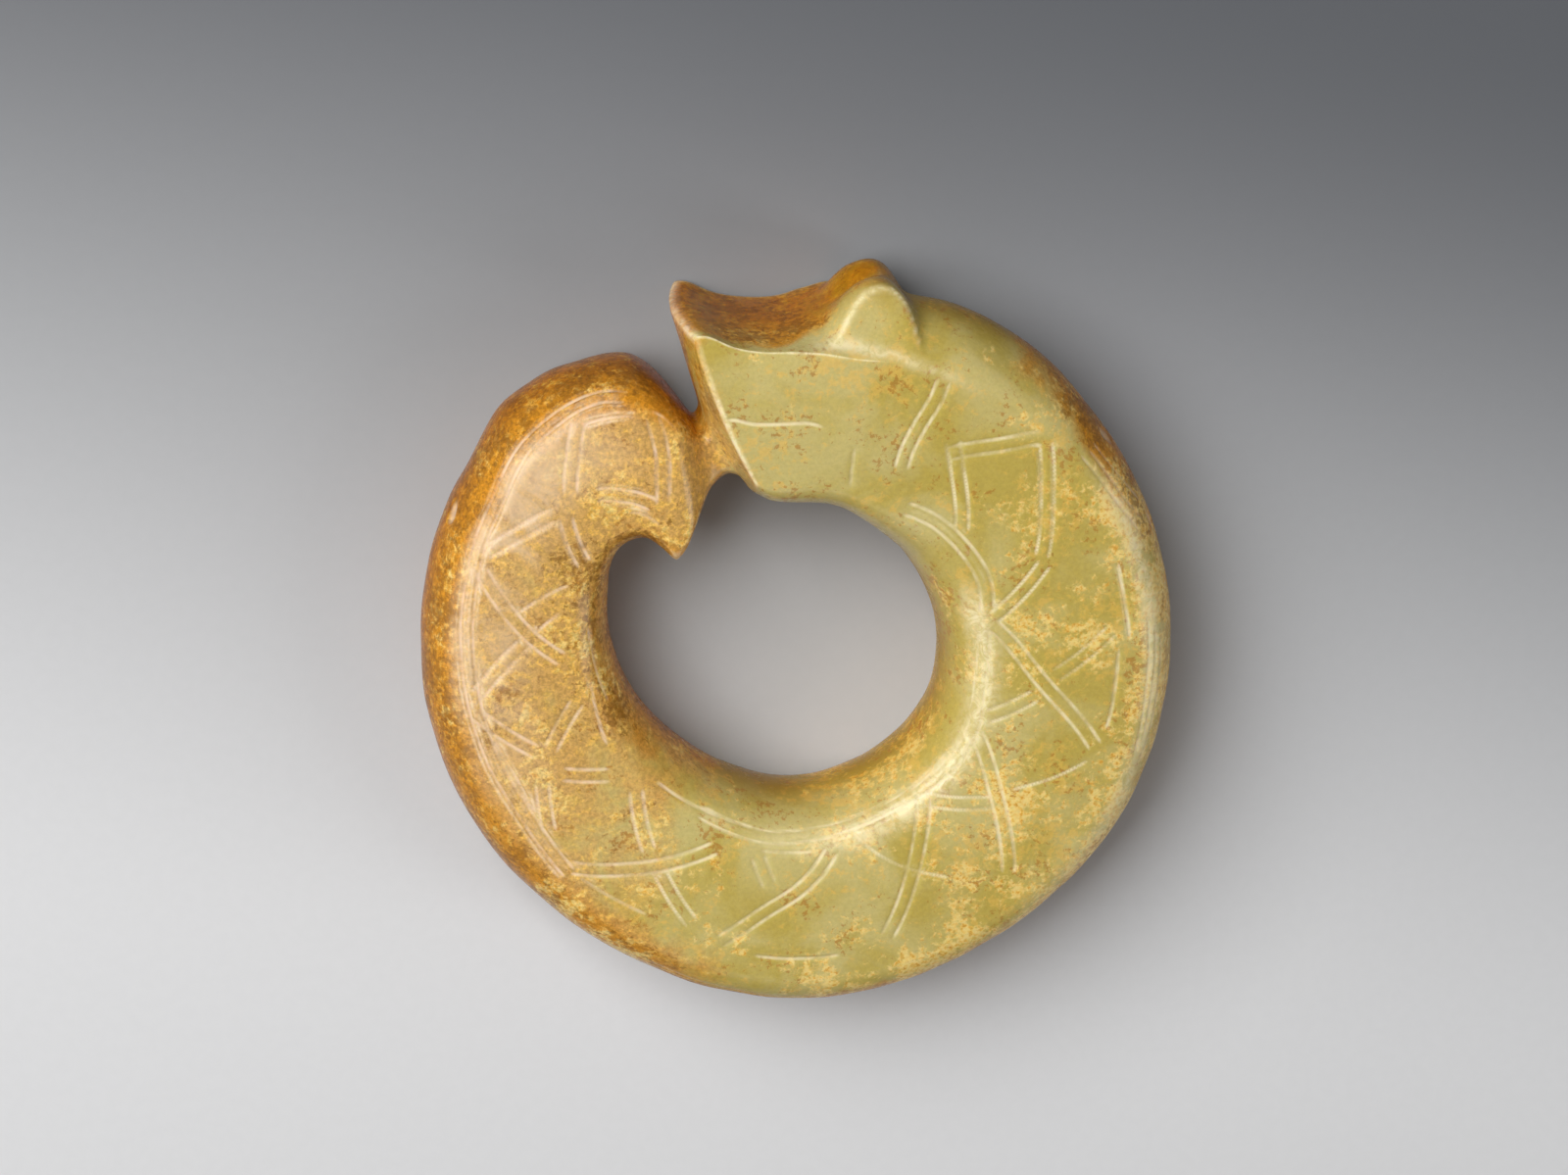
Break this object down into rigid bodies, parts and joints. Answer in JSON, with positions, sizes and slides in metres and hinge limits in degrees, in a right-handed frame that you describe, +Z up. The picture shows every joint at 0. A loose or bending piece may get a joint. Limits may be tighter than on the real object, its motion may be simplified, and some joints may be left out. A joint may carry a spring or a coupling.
{
  "type": "jade dragon pendant",
  "caption": "Ring-shaped jade pendant carved as a coiled dragon, its mouth joined to its hooked tail by a thin bridge.",
  "frame": {"origin": "centre of the box on the plane the pendant lies on", "axes": "+Z up out of the carved front, +Y towards the head, +X towards the neck side of the ring"},
  "size_m": [0.064, 0.065, 0.0146],
  "materials": {
    "jade": "polished yellow-green nephrite with orange and brown alteration"
  },
  "bodies": {
    "root": {"dragon_pendant": "jade"}
  },
  "joints": []
}
